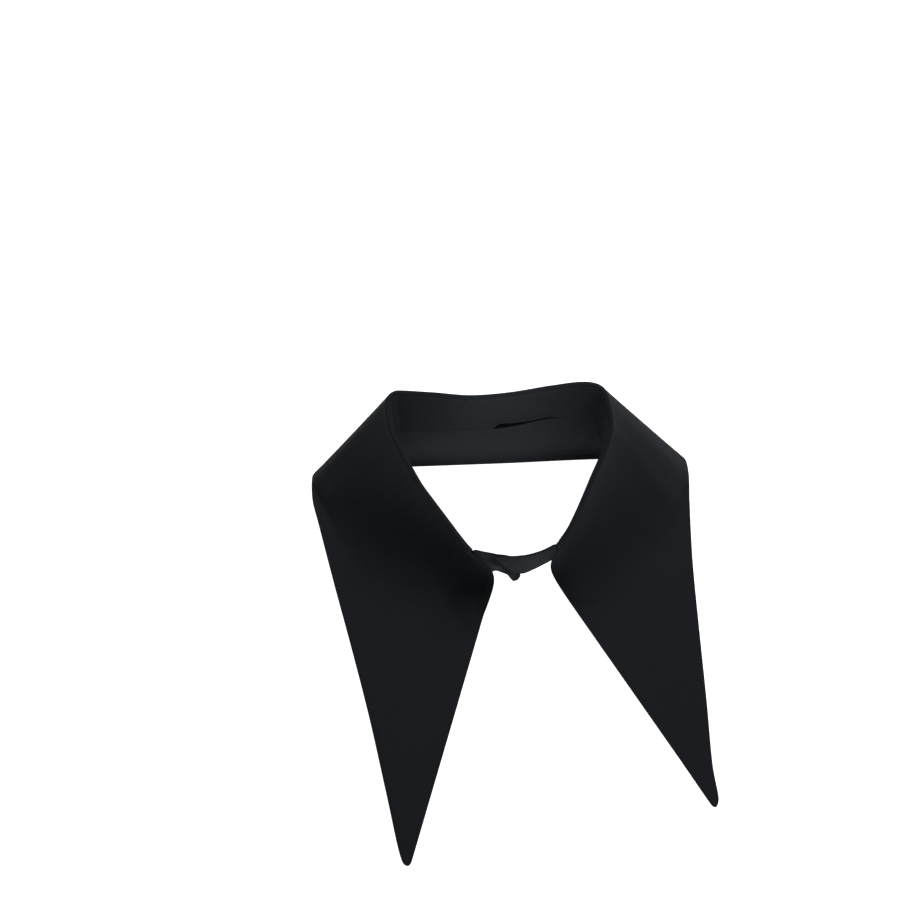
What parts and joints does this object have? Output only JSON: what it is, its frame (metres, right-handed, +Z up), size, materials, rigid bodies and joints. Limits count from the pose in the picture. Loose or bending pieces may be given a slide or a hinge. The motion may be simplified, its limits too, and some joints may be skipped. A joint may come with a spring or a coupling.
{
  "type": "detachable shirt collar",
  "caption": "Black detachable shirt collar, closed at the front and standing in a ring, with long pointed leaves that lie forward.",
  "frame": {"origin": "middle of the collar's outline seen from above, on the table", "axes": "+X is the wearer's left, +Y is the back of the neck, +Z is up"},
  "size_m": [0.235, 0.2724, 0.0577],
  "materials": {
    "fall_cloth": "fine plain-woven black cotton shirting, matt with a faint sheen",
    "stand_cloth": "fine plain-woven black cotton shirting, matt with a faint sheen",
    "socket_plastic": "smooth satin",
    "stud_plastic": "smooth satin"
  },
  "bodies": {
    "root": {"collar_fall": "fall_cloth", "collar_stand": "stand_cloth", "snap_socket": "socket_plastic", "snap_stud": "stud_plastic"}
  },
  "joints": []
}
